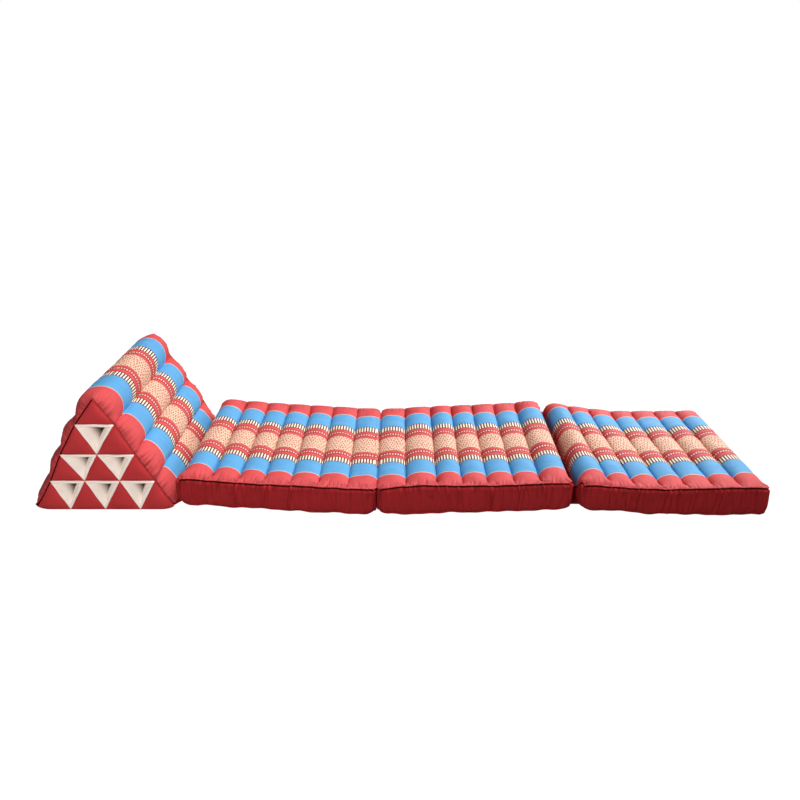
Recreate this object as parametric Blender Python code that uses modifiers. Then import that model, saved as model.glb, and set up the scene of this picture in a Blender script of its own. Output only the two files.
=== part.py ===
"""A Thai triangle cushion with three fold-out mats, laid out flat.

Metres, +Z up. +X runs along the laid-out length, the triangle stands at -X and the front is -Y.
The middle of the floor under the whole thing is the origin.
"""

import math
from collections import namedtuple

import bmesh
import bpy
from mathutils import Vector

# Everything is laid out in a drawing frame first: y = 0 is the front of the mats.
MAT_DEPTH = 0.530
ROLLS_PER_MAT = 7
FRONT_SEAM_HEIGHT = 0.0663
# How far the valleys between rolls lie under the seams.
VALLEY_DROP = 0.0085
MAT_CORNER_RADIUS = 0.011
BAND_BULGE = 0.007
BOTTOM_GROOVE = 0.004
# Share of the band height over which an end wall comes out from its drawn-in bottom edge.
END_TURN = 0.3
# Depth from the front and back seams over which a roll of a mat swells to its full height.
MAT_FADE = 0.050
MAT_ACROSS = (0.0, 0.010, 0.030, 0.060, 0.130, 0.265, 0.400, 0.470, 0.500, 0.520, 0.530)
BAND_LEVELS = (0.0, 0.22, 0.5, 0.78, 1.0)
ROLL_STEPS = (0.0, 0.095, 0.345, 0.655, 0.905)

# left and right: the end seams. *_in: how far that end wall draws in at its bottom and its top,
# *_bulge: how far its middle swells out again. crests: height of each roll over the floor side.
# raised: the end that stands off the floor, by near at the front and far at the back.
# reach: share of the length over which that lift runs out to nothing. back_seam: height of the
# top seam at the back.
Mat = namedtuple(
    "Mat",
    "name left right left_in right_in left_bulge right_bulge raised near far reach back_seam crests",
)
MATS = (
    Mat(
        "mat_1", -0.5093, -0.0548, (0.010, 0.0), (0.012, 0.0), 0.008, 0.0, "left", 0.028, 0.027,
        0.90, 0.068, (0.0785, 0.0740, 0.0710, 0.0710, 0.0720, 0.0730, 0.0715),
    ),
    Mat(
        "mat_2", -0.0542, 0.3973, (0.012, 0.0), (0.003, 0.002), 0.0, 0.005, "right", 0.014, 0.0225,
        0.92, 0.067, (0.0730, 0.0770, 0.0760, 0.0735, 0.0715, 0.0710, 0.0790),
    ),
    Mat(
        "mat_3", 0.4179, 0.8560, (0.003, 0.003), (0.014, 0.001), 0.006, 0.005, "left", 0.014, 0.024,
        0.45, 0.0605, (0.0790, 0.0720, 0.0710, 0.0710, 0.0715, 0.0730, 0.0750),
    ),
)

TRIANGLE_CENTRE = -0.6941
TRIANGLE_BASE = 0.3285
TRIANGLE_APEX = 0.2813
# The two long bottom edges curl up off the floor by this much.
TRIANGLE_CURL = 0.0138
CURL_REACH = 0.035
TRIANGLE_FRONT = 0.031
TRIANGLE_LENGTH = 0.531
CELLS = 4
STEPS_PER_CELL = 5
# Swelling of the rolls from the lowest to the top one. The first mat presses the lowest front one.
FRONT_ROLLS = (0.0150, 0.0230, 0.0230, 0.0230)
BACK_ROLLS = (0.0170, 0.0230, 0.0270, 0.0300)
RIDGE_BULGE = 0.0170
TRIANGLE_FADE = 0.050
PATCH_PUFF = 0.0080
TRIANGLE_ALONG = (0.0, 0.006, 0.018, 0.036, 0.062, 0.130, 0.210, 0.2655)

# How far the walls of a hollow stand in from its sewn outline, by depth from the end face.
Throat = namedtuple("Throat", "depth inset bow")
THROAT = (
    Throat(-0.020, 0.0014, 0.0),
    Throat(0.000, 0.0014, 0.0),
    Throat(0.012, 0.0045, 0.0012),
    Throat(0.035, 0.0085, 0.0025),
    Throat(0.090, 0.0115, 0.0030),
    Throat(0.2655, 0.0130, 0.0030),
)
HOLLOW_STEPS = 3
LINER_THICKNESS = 0.0018
LINER_STANDS_OUT = 0.0012
GAP = 0.0003
LINER_GAP = 0.0006
# The strip over the fold lies on two steep flanks, so it needs more room straight up.
FLANK_GAP = 0.0008

STRIP_THICKNESS = 0.0016
STRIP_MARGIN = 0.020

BORDER_RED = (0.83, 0.085, 0.09)
DARK_RED = (0.31, 0.013, 0.016)
COTTON_WHITE = (0.86, 0.80, 0.72)
CLOTH_ROUGHNESS = 0.85

# Closer than this, as a share, counts as on a line or plane.
ON_LINE = 1e-4


def mix(low, high, share):
    return low + (high - low) * share


def clamp(value, low=0.0, high=1.0):
    return max(low, min(high, value))


def dome(share):
    """Half-round profile: 0 at shares 0 and 1, and 1 in the middle."""
    return math.sqrt(max(0.0, 1.0 - (2.0 * share - 1.0) ** 2))


def swell(distance, reach):
    """Quarter-round rise from a seam: 0 at the seam and 1 from reach onwards."""
    return math.sqrt(1.0 - (1.0 - clamp(distance / reach)) ** 2)


def smooth(share):
    share = clamp(share)
    return share * share * (3.0 - 2.0 * share)


def face_outward(bm):
    """Turn every face of a closed mesh outwards."""
    bmesh.ops.recalc_face_normals(bm, faces=bm.faces[:])
    if bm.calc_volume(signed=True) < 0:
        bmesh.ops.reverse_faces(bm, faces=bm.faces[:])


def new_object(name, bm, collection, colour):
    mesh = bpy.data.meshes.new(name)
    bm.to_mesh(mesh)
    bm.free()
    for polygon in mesh.polygons:
        polygon.use_smooth = True
    obj = bpy.data.objects.new(name, mesh)
    collection.objects.link(obj)
    if colour:
        material = bpy.data.materials.new(name)
        material.use_nodes = True
        shader = material.node_tree.nodes["Principled BSDF"]
        shader.inputs["Base Color"].default_value = (*colour, 1.0)
        shader.inputs["Roughness"].default_value = CLOTH_ROUGHNESS
        mesh.materials.append(material)
    return obj


def cut_planes(bm, normal, offsets):
    """Cut every face of the mesh along parallel planes."""
    direction = Vector(normal)
    for offset in offsets:
        bmesh.ops.bisect_plane(
            bm,
            geom=bm.verts[:] + bm.edges[:] + bm.faces[:],
            dist=1e-6,
            plane_co=direction * offset,
            plane_no=direction,
        )


def stationed_box(xs, ys, zs):
    """Box of unit size cut at the given shares of each axis, corner at the origin."""
    bm = bmesh.new()
    bmesh.ops.create_cube(bm, size=1.0)
    bmesh.ops.translate(bm, vec=(0.5, 0.5, 0.5), verts=bm.verts[:])
    cut_planes(bm, (1, 0, 0), xs[1:-1])
    cut_planes(bm, (0, 1, 0), ys[1:-1])
    cut_planes(bm, (0, 0, 1), zs[1:-1])
    return bm


def stationed_prism(steps, depths):
    """Three-sided prism along +Y with unit sides, point up, cut into small triangles and by depth."""
    height = math.sqrt(3) / 2
    bm = bmesh.new()
    bmesh.ops.create_cone(
        bm, cap_ends=True, segments=3, radius1=1 / math.sqrt(3), radius2=1 / math.sqrt(3), depth=1.0
    )
    for vert in bm.verts:
        x, y, z = vert.co
        vert.co = (x, depths[-1] if z > 0 else depths[0], y)
    lowest = min(vert.co.z for vert in bm.verts)
    points_down = sum(vert.co.z < lowest + 1e-4 for vert in bm.verts) == 2
    for vert in bm.verts:
        turned = -vert.co.z if points_down else vert.co.z
        vert.co.z = turned
    lowest = min(vert.co.z for vert in bm.verts)
    for vert in bm.verts:
        vert.co.z -= lowest
    rows = [height * step / steps for step in range(1, steps)]
    cut_planes(bm, (0, 0, 1), rows)
    lean = Vector((height, 0.0, 0.5))
    left_edge = Vector((-0.5, 0.0, 0.0)).dot(lean)
    cut_planes(bm, lean, [left_edge + row for row in rows])
    lean = Vector((-height, 0.0, 0.5))
    cut_planes(bm, lean, [left_edge + row for row in rows])
    cut_planes(bm, (0, 1, 0), depths[1:-1])
    return bm


def lift_of(mat, along, across):
    """How far the mat stands off the floor at these shares of its length and depth."""
    away = along if mat.raised == "left" else 1.0 - along
    return mix(mat.near, mat.far, across) * clamp(1.0 - away / mat.reach)


def seam_height(mat, across):
    return mix(FRONT_SEAM_HEIGHT, mat.back_seam, across)


def top_height(mat, along, across):
    """Height of the top cloth over the bottom, rolls and valleys."""
    place = clamp(along * ROLLS_PER_MAT, 0.0, ROLLS_PER_MAT - 1e-6)
    roll = int(place)
    depth = MAT_DEPTH * min(across, 1.0 - across)
    seam = seam_height(mat, across)
    valley = seam - VALLEY_DROP
    swollen = (mat.crests[roll] - FRONT_SEAM_HEIGHT + VALLEY_DROP) * dome(place - roll)
    return seam + swell(depth, MAT_FADE) * (valley - seam + swollen)


def round_corner(x, y, x_low, x_high, y_low, y_high, radius):
    """Pull points near a plan corner onto a quarter circle."""
    in_x = min(x - x_low, x_high - x)
    in_y = min(y - y_low, y_high - y)
    if in_x >= radius or in_y >= radius:
        return x, y
    out_x = radius - in_x
    out_y = radius - in_y
    pull = max(out_x, out_y) / math.hypot(out_x, out_y)
    x_side = -1.0 if x - x_low < x_high - x else 1.0
    y_side = -1.0 if y - y_low < y_high - y else 1.0
    x_centre = x_low + radius if x_side < 0 else x_high - radius
    y_centre = y_low + radius if y_side < 0 else y_high - radius
    return x_centre + x_side * out_x * pull, y_centre + y_side * out_y * pull


def mat_point(mat, along, across, level):
    """Where the point at these shares of length, depth and band height lies."""
    turn = swell(level, END_TURN)
    left = mat.left + mix(mat.left_in[0], mat.left_in[1], turn)
    right = mat.right - mix(mat.right_in[0], mat.right_in[1], turn)
    x_low = left - mat.left_bulge * dome(level)
    x_high = right + mat.right_bulge * dome(level)
    y_low = -BAND_BULGE * dome(level)
    y_high = MAT_DEPTH - y_low
    x, y = round_corner(
        mix(x_low, x_high, along), mix(y_low, y_high, across),
        x_low, x_high, y_low, y_high, MAT_CORNER_RADIUS,
    )
    height = seam_height(mat, across) * level
    if level == 1.0:
        height = top_height(mat, along, across)
    elif level == 0.0:
        place = along * ROLLS_PER_MAT
        on_valley = abs(place - round(place)) < ON_LINE and 0.0 < along < 1.0
        inside = 0.0 < across < 1.0
        height = BOTTOM_GROOVE if on_valley and inside else 0.0
    return Vector((x, y, height + lift_of(mat, along, across)))


def roll_stations():
    return [(roll + step) / ROLLS_PER_MAT for roll in range(ROLLS_PER_MAT) for step in ROLL_STEPS] + [1.0]


def build_mat(mat, collection):
    across = [depth / MAT_DEPTH for depth in MAT_ACROSS]
    bm = stationed_box(roll_stations(), across, BAND_LEVELS)
    for vert in bm.verts:
        vert.co = mat_point(mat, *(round(value, 6) for value in vert.co))
    face_outward(bm)
    return new_object(mat.name, bm, collection, BORDER_RED)


def section_point(across, up):
    """Section of the triangle cushion before its rolls: across in cells from the middle, up in rows."""
    x = across * TRIANGLE_BASE / CELLS
    z = TRIANGLE_CURL + (TRIANGLE_APEX - TRIANGLE_CURL) * up / CELLS
    from_corner = TRIANGLE_BASE / 2 - abs(x)
    sag = TRIANGLE_CURL * swell(from_corner, CURL_REACH) * clamp(1.0 - up)
    return x, z - sag


def roll_offset(along_slope, side, fade):
    """Outward swelling of the rolls on a slope, along_slope in cells from the bottom corner."""
    place = clamp(along_slope, 0.0, CELLS - 1e-9)
    roll = int(place)
    share = place - roll
    rise = TRIANGLE_APEX - TRIANGLE_CURL
    slope = math.hypot(rise, TRIANGLE_BASE / 2)
    outward = Vector((side * rise / slope, 0.0, TRIANGLE_BASE / 2 / slope))
    bulge = (FRONT_ROLLS if side > 0 else BACK_ROLLS)[roll]
    amount = bulge * dome(share)
    if roll == CELLS - 1:
        if share > 0.5:
            amount = mix(bulge, RIDGE_BULGE, smooth(2 * share - 1))
        outward = outward.lerp(Vector((0, 0, 1)), smooth(share) ** 2).normalized()
    return outward * amount * fade


def patch_puff(across, up):
    """Swelling of the sewn end patches: most in the middle of each upright triangle, none at its seams."""
    row = clamp(up, 0.0, CELLS)
    first = row - math.floor(row)
    along = clamp(across + (CELLS - row) / 2, 0.0, CELLS)
    second = along - math.floor(along)
    third = 1.0 - first - second
    if third <= 0.0 or second <= 0.0:
        return 0.0
    return PATCH_PUFF * (27 * first * second * third) ** 0.6


def mirrored(depths, whole):
    return list(depths) + [whole - depth for depth in reversed(depths) if whole - depth > depths[-1] + 1e-6]


def build_triangle(collection):
    depths = mirrored(TRIANGLE_ALONG, TRIANGLE_LENGTH)
    bm = stationed_prism(CELLS * STEPS_PER_CELL, depths)
    to_row = CELLS / (math.sqrt(3) / 2)
    for vert in bm.verts:
        across, up = round(vert.co.x * CELLS, 6), round(vert.co.z * to_row, 6)
        depth = vert.co.y
        x, z = section_point(across, up)
        y = depth
        fade = swell(min(depth, TRIANGLE_LENGTH - depth), TRIANGLE_FADE)
        on_slope = abs(abs(across) - (CELLS - up) / 2) < ON_LINE
        if on_slope and up > 0:
            if up > CELLS - ON_LINE:
                z += RIDGE_BULGE * fade
            else:
                moved = roll_offset(up, 1 if across > 0 else -1, fade)
                x, z = x + moved.x, z + moved.z
        if depth < 1e-6:
            y -= patch_puff(across, up)
        elif depth > TRIANGLE_LENGTH - 1e-6:
            y += patch_puff(across, up)
        vert.co = (TRIANGLE_CENTRE + x, TRIANGLE_FRONT + y, z)
    face_outward(bm)
    return new_object("triangle_cushion", bm, collection, DARK_RED)


def throat_at(depth):
    """Inset and bow of a hollow's walls at this depth from the nearer end face."""
    for shallow, deep in zip(THROAT, THROAT[1:]):
        if depth <= deep.depth + 1e-9:
            share = (depth - shallow.depth) / (deep.depth - shallow.depth)
            return mix(shallow.inset, deep.inset, share), mix(shallow.bow, deep.bow, share)
    return THROAT[-1].inset, THROAT[-1].bow


def wall_bow(corners):
    """1 in the middle of a wall and 0 at its ends, from the shares of the three corners."""
    ordered = sorted(corners)
    return 4 * ordered[1] * ordered[2]


def hollow_mesh(column, row, depths, extra_inset):
    """Three-sided hollow, point down, hanging from the seam line over this row of patches."""
    height = math.sqrt(3) / 2
    bm = stationed_prism(HOLLOW_STEPS, depths)
    side = TRIANGLE_BASE / CELLS
    inner = side / (2 * math.sqrt(3))
    for vert in bm.verts:
        across, up = vert.co.x, 1.0 - vert.co.z / height
        depth = vert.co.y
        inset, bow = throat_at(min(depth, TRIANGLE_LENGTH - depth))
        shrink = 1.0 - (inset + extra_inset) / inner
        corners = (1.0 - up, up / 2 + across, up / 2 - across)
        on_wall = min(corners) < ON_LINE
        towards = 1.0 - bow / inner * wall_bow(corners) if on_wall else 1.0
        across_cells = column + across * shrink * towards
        up_cells = row + 2 / 3 + (up - 2 / 3) * shrink * towards
        x, z = section_point(across_cells, up_cells)
        vert.co = (TRIANGLE_CENTRE + x, TRIANGLE_FRONT + depth, z)
    face_outward(bm)
    return bm


def hollow_places():
    """Column and row of each hollow: one under the top patch, then two, then three."""
    return [
        (column - (CELLS - 2 - row) / 2, row)
        for row in range(CELLS - 2, -1, -1)
        for column in range(CELLS - 1 - row)
    ]


def build_hollows(body, parts, cutters):
    """Cut the six hollows through the body and line each one with a cotton tube."""
    cut_depths = mirrored([throat.depth for throat in THROAT], TRIANGLE_LENGTH)
    liner_depths = [-LINER_STANDS_OUT] + [throat.depth for throat in THROAT[2:]]
    for number, (column, row) in enumerate(hollow_places(), start=1):
        cutter_bm = hollow_mesh(column, row, cut_depths, 0.0)
        cutter = new_object(f"hollow_cutter_{number}", cutter_bm, cutters, None)
        cutter.hide_render = True
        cutter.display_type = "WIRE"
        cut = body.modifiers.new(cutter.name, "BOOLEAN")
        cut.operation = "DIFFERENCE"
        cut.solver = "EXACT"
        cut.object = cutter
        liner_bm = hollow_mesh(column, row, mirrored(liner_depths, TRIANGLE_LENGTH), LINER_GAP)
        ends = (liner_depths[0], TRIANGLE_LENGTH - liner_depths[0])
        caps = [
            face for face in liner_bm.faces
            if any(all(abs(v.co.y - TRIANGLE_FRONT - end) < 1e-6 for v in face.verts) for end in ends)
        ]
        bmesh.ops.delete(liner_bm, geom=caps, context="FACES")
        liner = new_object(f"hollow_liner_{number}", liner_bm, parts, COTTON_WHITE)
        shell = liner.modifiers.new("cloth", "SOLIDIFY")
        shell.thickness = LINER_THICKNESS
        shell.offset = -1.0
        shell.use_even_offset = True


def strip_rows():
    margin = STRIP_MARGIN / MAT_DEPTH
    return [margin] + [depth / MAT_DEPTH for depth in MAT_ACROSS[3:-3]] + [1.0 - margin]


def build_strip(name, path, colour, collection):
    """Strip of cloth whose top edge line in each row is path(across), a list of (x, z) points."""
    rows = strip_rows()
    columns = len(path(rows[0])) - 1
    shares = [index / columns for index in range(columns + 1)]
    depths = [(row - rows[0]) / (rows[-1] - rows[0]) for row in rows]
    bm = stationed_box(shares, depths, (0.0, 1.0))
    for vert in bm.verts:
        across = mix(rows[0], rows[-1], vert.co.y)
        x, z = path(across)[round(vert.co.x * columns)]
        below = 0.0 if vert.co.z > 0.5 else STRIP_THICKNESS
        vert.co = (x, across * MAT_DEPTH, z - below)
    face_outward(bm)
    return new_object(name, bm, collection, colour)


def bottom_edge(mat, along, across):
    point = mat_point(mat, along, across, 0.0)
    return point.x, point.z - GAP


def triangle_to_mat(across):
    """From the curled bottom edge of the triangle up to under the raised end of the first mat."""
    first = MATS[0]
    edge = TRIANGLE_CENTRE + TRIANGLE_BASE / 2
    return [
        (edge + GAP, TRIANGLE_CURL),
        (mix(edge, first.left, 0.6), mix(TRIANGLE_CURL, lift_of(first, 0.0, across), 0.5)),
        bottom_edge(first, 0.0, across),
        bottom_edge(first, roll_stations()[1], across),
    ]


def over_the_fold(across):
    """Over the valley between the first two mats, lying on the last roll and the next one."""
    first, second = MATS[0], MATS[1]
    stations = roll_stations()
    points = []
    for mat, along in ((first, stations[-2]), (first, 1.0), (second, 0.0), (second, stations[1])):
        point = mat_point(mat, along, across, 1.0)
        points.append((point.x, point.z + FLANK_GAP + STRIP_THICKNESS))
    middle = (points[1][0] + points[2][0]) / 2
    return [points[0], (middle, points[1][1]), points[3]]


def under_the_fold(across):
    """Under the raised joint of the last two mats."""
    second, third = MATS[1], MATS[2]
    stations = roll_stations()
    return [
        bottom_edge(second, stations[-2], across),
        bottom_edge(second, 1.0, across),
        bottom_edge(third, 0.0, across),
        bottom_edge(third, stations[1], across),
    ]


def centre_on_floor(objects, movable):
    """Slide everything so that the middle of the floor under it is the origin."""
    graph = bpy.context.evaluated_depsgraph_get()
    low, high = Vector((1e9, 1e9, 1e9)), Vector((-1e9, -1e9, -1e9))
    for obj in objects:
        for vert in obj.evaluated_get(graph).to_mesh().vertices:
            for axis in range(3):
                low[axis] = min(low[axis], vert.co[axis])
                high[axis] = max(high[axis], vert.co[axis])
    middle = (low + high) / 2
    shift = Vector((-middle.x, -middle.y, -low.z))
    for obj in movable:
        for vert in obj.data.vertices:
            vert.co += shift


def main():
    for obj in list(bpy.data.objects):
        bpy.data.objects.remove(obj, do_unlink=True)
    scene = bpy.context.scene
    parts = bpy.data.collections.new("thai_triangle_cushion")
    cutters = bpy.data.collections.new("cutters")
    scene.collection.children.link(parts)
    scene.collection.children.link(cutters)
    body = build_triangle(parts)
    build_hollows(body, parts, cutters)
    for mat in MATS:
        build_mat(mat, parts)
    build_strip("hinge_strip_1", triangle_to_mat, DARK_RED, parts)
    build_strip("hinge_strip_2", over_the_fold, BORDER_RED, parts)
    build_strip("hinge_strip_3", under_the_fold, DARK_RED, parts)
    bpy.context.view_layer.update()
    centre_on_floor(list(parts.objects), list(parts.objects) + list(cutters.objects))


main()
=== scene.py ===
"""Looks of a Thai triangle cushion with three fold-out mats: printed cotton, seams and pleats.

Metres, +Z up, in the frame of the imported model. The UV map "Cloth" is in metres too: U runs round
the rolls and V across the printed stripes.
"""
import math
from collections import namedtuple

import bmesh
import bpy
import numpy as np
from bpy.props import FloatProperty, FloatVectorProperty, PointerProperty
from mathutils import Euler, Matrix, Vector


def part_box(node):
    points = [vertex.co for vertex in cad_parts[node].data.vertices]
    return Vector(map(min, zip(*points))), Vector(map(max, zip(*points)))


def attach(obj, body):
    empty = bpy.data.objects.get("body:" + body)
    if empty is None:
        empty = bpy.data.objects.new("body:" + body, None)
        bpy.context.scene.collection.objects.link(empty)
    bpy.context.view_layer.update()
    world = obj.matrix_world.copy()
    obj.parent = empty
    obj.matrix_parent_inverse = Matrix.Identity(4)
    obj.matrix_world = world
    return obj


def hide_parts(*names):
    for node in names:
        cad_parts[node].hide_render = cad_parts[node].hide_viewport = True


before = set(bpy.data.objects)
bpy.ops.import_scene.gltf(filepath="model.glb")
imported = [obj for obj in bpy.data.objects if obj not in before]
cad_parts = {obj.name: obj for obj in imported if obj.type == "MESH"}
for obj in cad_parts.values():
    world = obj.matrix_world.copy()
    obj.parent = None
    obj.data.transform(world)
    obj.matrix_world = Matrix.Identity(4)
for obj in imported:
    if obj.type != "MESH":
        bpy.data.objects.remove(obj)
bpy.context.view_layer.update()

bl_info = {
    "name": "Thai triangle cushion",
    "version": (1, 0, 0),
    "blender": (4, 5, 0),
    "location": "View3D > Sidebar > Cushion",
    "description": "Sews the triangle cushion and its three fold-out mats over their solids",
    "category": "Object",
}

# The drawing frame and the main sizes of the part's source: y = 0 is the front of the mats.
MAT_DEPTH = 0.530
ROLLS_PER_MAT = 7
FRONT_SEAM_HEIGHT = 0.0663
MAT_CORNER_RADIUS = 0.022
BAND_BULGE = 0.007
# Share of a band's height over which its ends turn up from the floor, and its waves there die out.
END_TURN = 0.3
FLOOR_WAVE = 0.0026
MAT_FADE = 0.050
# A mat's ends, how far each is drawn in at the floor and above, and how far each bulges. Then which
# end is raised, how high at the front and at the back and over what share of the length, the height
# of the back seam and the crests of the rolls.
Mat = namedtuple(
    "Mat",
    "name left right left_in right_in left_bulge right_bulge raised near far reach back_seam crests",
)
MATS = (
    Mat(
        "mat_1", -0.5093, -0.0548, (0.010, 0.0), (0.012, 0.0), 0.008, 0.0, "left", 0.028, 0.027,
        0.90, 0.068, (0.0785, 0.0740, 0.0710, 0.0710, 0.0720, 0.0730, 0.0715),
    ),
    Mat(
        "mat_2", -0.0542, 0.3973, (0.012, 0.0), (0.003, 0.002), 0.0, 0.005, "right", 0.014, 0.0225,
        0.92, 0.067, (0.0730, 0.0770, 0.0760, 0.0735, 0.0715, 0.0710, 0.0790),
    ),
    Mat(
        "mat_3", 0.4179, 0.8560, (0.003, 0.003), (0.014, 0.003), 0.006, 0.003, "left", 0.014, 0.024,
        0.45, 0.0605, (0.0790, 0.0720, 0.0710, 0.0710, 0.0715, 0.0730, 0.0750),
    ),
)
# Where the sewn valleys lie along each mat, its ends included.
VALLEYS = {
    "mat_1": (0.0, 0.155, 0.293, 0.4227, 0.561, 0.7015, 0.853, 1.0),
    "mat_2": (0.0, 0.153, 0.3145, 0.446, 0.577, 0.714, 0.8505, 1.0),
    "mat_3": (0.0, 0.1566, 0.292, 0.438, 0.572, 0.720, 0.862, 1.0),
}
# How deep each valley is sewn below the front seam.
VALLEY_DROP = {
    "mat_1": (0.0115, 0.0160, 0.0155, 0.0130, 0.0118, 0.0098, 0.0088, 0.0115),
    "mat_2": (0.0115, 0.0100, 0.0110, 0.0120, 0.0120, 0.0120, 0.0128, 0.0115),
    "mat_3": (0.0115, 0.0140, 0.0135, 0.0130, 0.0130, 0.0130, 0.0130, 0.0115),
}
# How far the front corners are rounded off downwards, and how far that reaches along and across.
CORNER_DROP, CORNER_REACH = 0.006, (0.030, 0.040)
# How far the front seam is pulled up, at these places along each mat.
PULLED_AT = (0.0, 0.10, 0.25, 0.42, 0.60, 0.85, 1.0)
SEAM_PULL = {
    "mat_1": (0.0035, 0.0040, 0.0020, 0.0025, 0.0038, 0.0048, 0.0040),
    "mat_2": (0.0040, 0.0095, 0.0120, 0.0075, 0.0055, 0.0068, 0.0055),
    "mat_3": (0.0010, 0.0020, 0.0015, 0.0028, 0.0055, 0.0085, 0.0070),
}
# How far the printed panel reaches down over the left end of each mat, and over how much of a roll.
END_DROP = {"mat_1": 0.012, "mat_2": 0.0, "mat_3": 0.026}
END_DROP_REACH = 0.62
# Uneven folds: their spacing, depth as a share of the set pleats or creases, half width and reach.
Folds = namedtuple("Folds", "spacing share width reach")
FRONT_PLEATS = Folds(0.015, 1.0, 0.0023, 0.020)
BACK_PLEATS = Folds(0.015, 0.3, 0.0023, 0.020)
BAND_CREASES = Folds(0.030, 0.7, 0.0034, 0.050)
BAND_PLEATS = Folds(0.012, 0.7, 0.0023, 0.018)
GROUND_CREASES = Folds(0.040, 0.5, 0.0060, 0.022)
# The triangle has two kinds at its end seams, each with its own seed.
SLOPE_PLEATS = {90: Folds(0.014, 1.2, 0.0026, 0.024), 95: Folds(0.007, 0.5, 0.0016, 0.014)}
# A long fold of strength 1: depth as a share of the set creases, half width, reach and slant.
LongFold = namedtuple("LongFold", "share width reach slant")
LONG_FOLD = LongFold(1.15, 0.0036, 0.075, 0.16)
# A groove in the cloth: its distance from a seam, half width and depth.
Groove = namedtuple("Groove", "place width depth")
BOTTOM_GROOVE = Groove(0.0, 0.006, 0.004)
LEFT_SEAM_GROOVE = Groove(0.003, 0.002, 0.0014)
# The long folds in the front of each mat's band: place along the mat, and strength.
BAND_FOLDS = {
    "mat_1": (
        (0.157, 0.5), (0.303, 1.0), (0.333, 0.7), (0.449, 0.9), (0.470, 0.7), (0.581, 1.0), (0.758, 0.5),
    ),
    "mat_2": (
        (0.122, 0.5), (0.162, 0.6), (0.350, 0.9), (0.411, 0.7), (0.589, 0.9), (0.721, 0.8), (0.745, 0.6),
        (0.843, 0.7),
    ),
    "mat_3": (
        (0.143, 0.8), (0.166, 0.7), (0.212, 0.9), (0.259, 0.6), (0.296, 0.8), (0.333, 0.6), (0.439, 0.6),
        (0.463, 0.9), (0.487, 0.7), (0.510, 0.8), (0.598, 0.6), (0.730, 0.8),
    ),
}
# How far the back left corner of each mat stands out to the left.
CORNER_FLARE = {"mat_1": 0.0, "mat_2": 0.0, "mat_3": 0.008}
TRIANGLE_CENTRE = -0.6941
TRIANGLE_BASE = 0.3285
TRIANGLE_APEX = 0.2813
TRIANGLE_CURL = 0.0138
CURL_REACH = 0.035
TRIANGLE_FRONT = 0.031
TRIANGLE_LENGTH = 0.531
CELLS = 4
FRONT_ROLLS = np.array((0.0150, 0.0230, 0.0230, 0.0230))
BACK_ROLLS = np.array((0.0170, 0.0230, 0.0270, 0.0300))
# The top roll at the front and at the far end: its height, and its half width to the right and left.
RIDGE_HEIGHT = (0.2835, 0.2900)
TOP_ROLL_RIGHT = (0.0465, 0.0460)
TOP_ROLL_LEFT = (0.0520, 0.0460)
TRIANGLE_FADE = 0.050
PATCH_PUFF = 0.0080
TRIANGLE_RISE, TRIANGLE_HALF = TRIANGLE_APEX - TRIANGLE_CURL, TRIANGLE_BASE / 2
TRIANGLE_SLOPE = math.hypot(TRIANGLE_RISE, TRIANGLE_HALF)
# Distance square to a slope for each metre along the base.
SQUARE_TO_SLOPE = 0.86

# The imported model's origin is the middle of the floor under it.
SHIFT = np.array((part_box("mat_2")[0].x - MATS[1].left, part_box("mat_3")[0].y + BAND_BULGE, 0.0))

# Seeds of the random draws, to which each mat, slope, patch and liner adds a number of its own.
FLOOR_SEED, BAND_SEED, SEAM_SEED, SLOPE_SEED, PATCH_SEED, LINER_SEED = 7, 50, 60, 80, 120, 200
# Size of the lumps: on top of the mats, in their bands and on the slopes and the mats' bottoms.
TOP_LUMPS, BAND_LUMPS, OTHER_LUMPS = 0.045, 0.07, 0.05
# The lumps grow over this distance from a seam.
LUMP_START = 0.010
# How far hand sewing wanders on the seams, patches and liners.
SEWING_WANDER = 0.0007
# Steps of the cloth: round a roll of a mat, round a roll of the triangle, and from a seam inwards.
STEPS_ROUND_ROLL = 36
STEPS_ROUND_CELL = 24
FROM_SEAM = (
    0.0, 0.0012, 0.003, 0.0055, 0.0085, 0.012, 0.016, 0.0205, 0.0255, 0.031, 0.037, 0.0435, 0.0505,
)
MIDDLE_STEP = 0.0080
# Rows of a mat's side from the top edge down: depth, and how far the cloth stands out there. The
# first strips between them end the top panel and the next ones are the seam groove, dyed dark as painted
# shade.
LIP_ROWS = (
    (0.0, 0.0004), (0.0010, 0.0012), (0.0020, 0.0010), (0.0028, -0.0006), (0.0034, -0.0026),
    (0.0050, -0.0030), (0.0062, -0.0012), (0.0080, 0.0002), (0.0120, 0.0006),
)
PANEL_STRIPS, SEAM_SHADOW_STRIPS = 3, 3
# The rest as shares of the height, down to the bottom seam.
BAND_ROWS = (
    (0.80, 0.0), (0.73, 0.0), (0.66, 0.0), (0.59, 0.0), (0.52, 0.0), (0.45, 0.0), (0.38, 0.0),
    (0.31, 0.0), (0.24, 0.0), (0.18, 0.0), (0.13, 0.0), (0.09, -0.0004), (0.060, -0.0012),
    (0.042, -0.0010), (0.026, 0.0010), (0.012, 0.0012), (0.0, 0.0),
)
# The folds of a band keep this far under its top edge and above the floor.
UNDER_SEAM, OVER_FLOOR = 0.0050, 0.0015
# Depth from the front and from the back over which the sewn valleys of a mat reach full depth.
VALLEY_START = (0.046, 0.022)
# How much of the valleys' depth the front and back seams follow.
SEAM_DIP = (0.05, 0.18)
# How far the print sits towards the back of each mat, at its left and right end, for these depths.
PRINT_KNOTS = (0.13, 0.50, 0.87)
PRINT_SHIFT = {
    "mat_1": ((-0.008, -0.001), (-0.0105, -0.0160), (-0.005, -0.003)),
    "mat_2": ((-0.0005, -0.002), (-0.0105, -0.0105), (-0.002, -0.007)),
    "mat_3": ((-0.008, 0.0115), (-0.0035, 0.0110), (0.016, 0.001)),
}
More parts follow.
